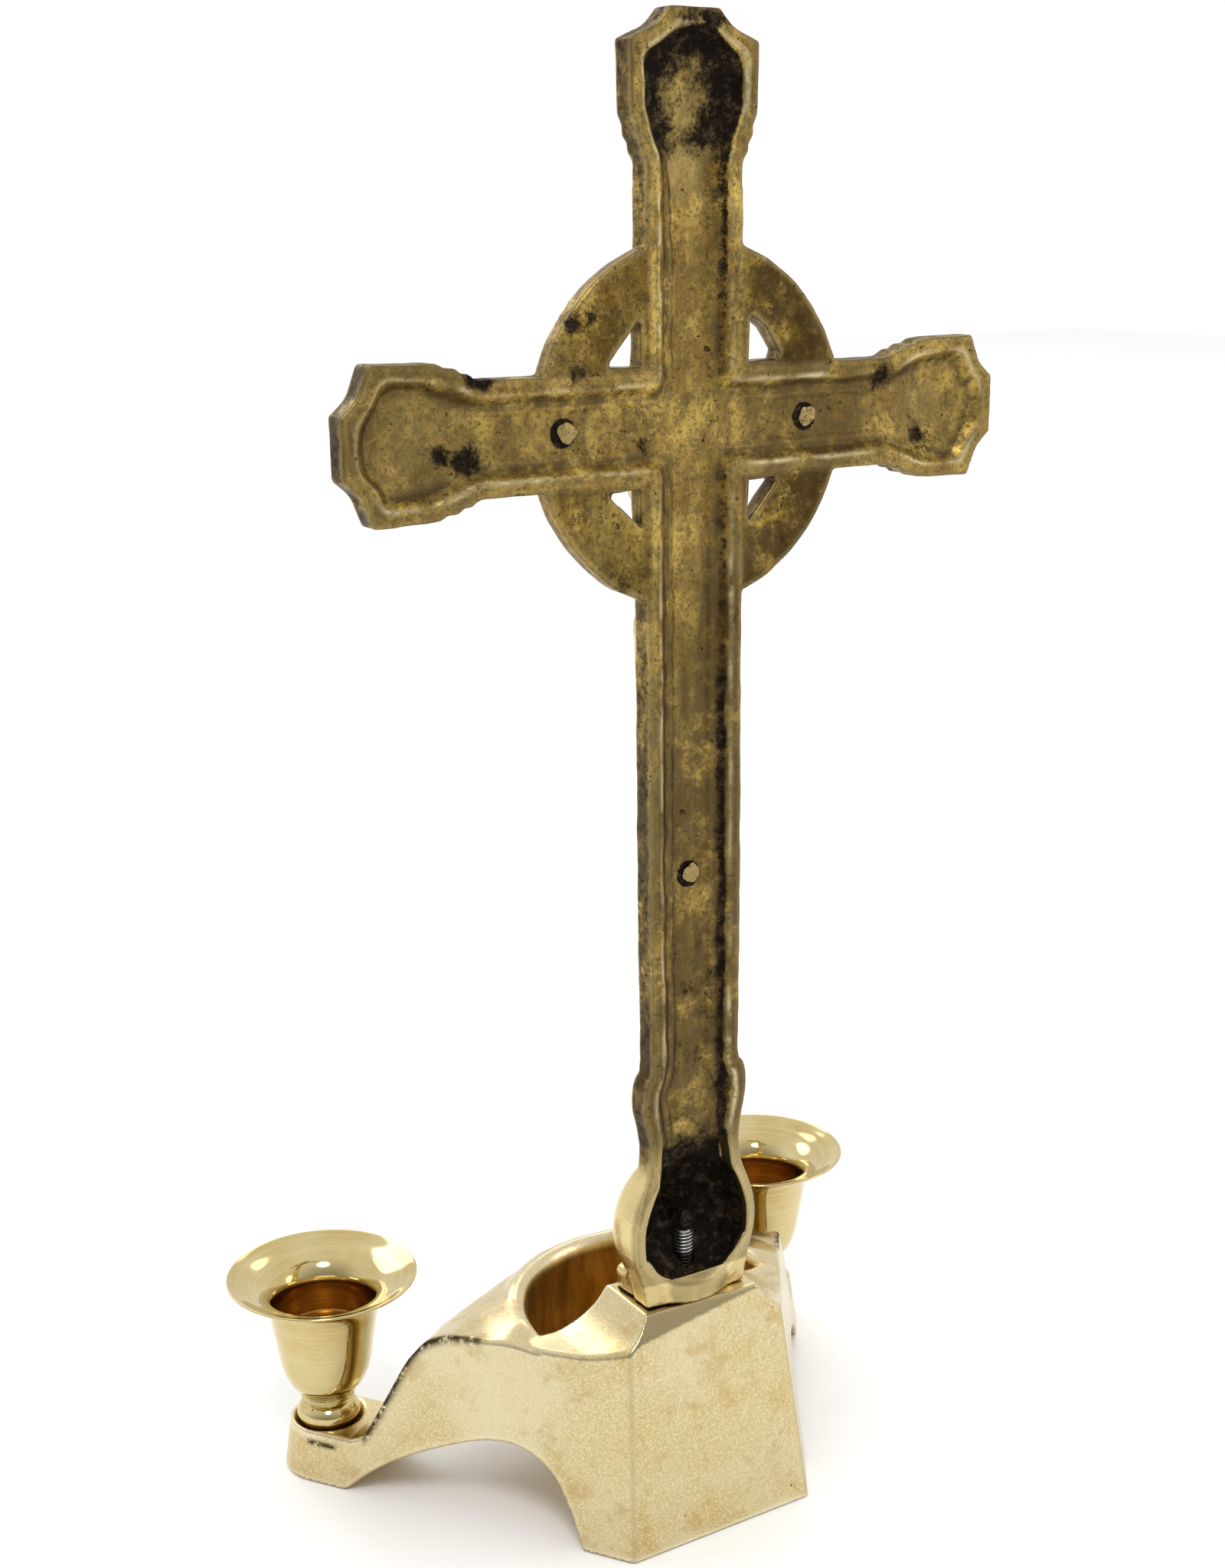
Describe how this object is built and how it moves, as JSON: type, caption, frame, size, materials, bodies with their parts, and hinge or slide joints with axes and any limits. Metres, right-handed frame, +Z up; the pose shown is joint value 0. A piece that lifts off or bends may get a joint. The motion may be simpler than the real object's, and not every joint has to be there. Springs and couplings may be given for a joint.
{
  "type": "altar cross",
  "caption": "Ringed altar cross with a small figure, bolted upright on a heavy brass base with two candle cups and a bowl between its arms.",
  "frame": {"origin": "middle of the footprint on the ground, under the middle of the overall box", "axes": "+Z up, -Y the front that carries the figure, +X the object's own left"},
  "size_m": [0.148, 0.085, 0.2849],
  "materials": {
    "brass_polished": "polished",
    "brass_turned": "polished, turned",
    "brass_aged": "aged, as cast behind",
    "brass_satin": "satin",
    "brass_pin": "aged",
    "steel": "bright"
  },
  "bodies": {
    "root": {"base_casting": "brass_polished", "cross_casting": "brass_aged", "corpus_figure": "brass_satin", "hand_pin_left": "brass_pin", "hand_pin_right": "brass_pin", "feet_pin": "brass_pin", "candle_cup_left": "brass_turned", "candle_cup_right": "brass_turned", "cup_knop_left": "brass_turned", "cup_knop_right": "brass_turned", "cross_screw": "steel", "cross_washer": "steel", "cup_screw_left": "steel", "cup_screw_right": "steel"}
  },
  "joints": []
}
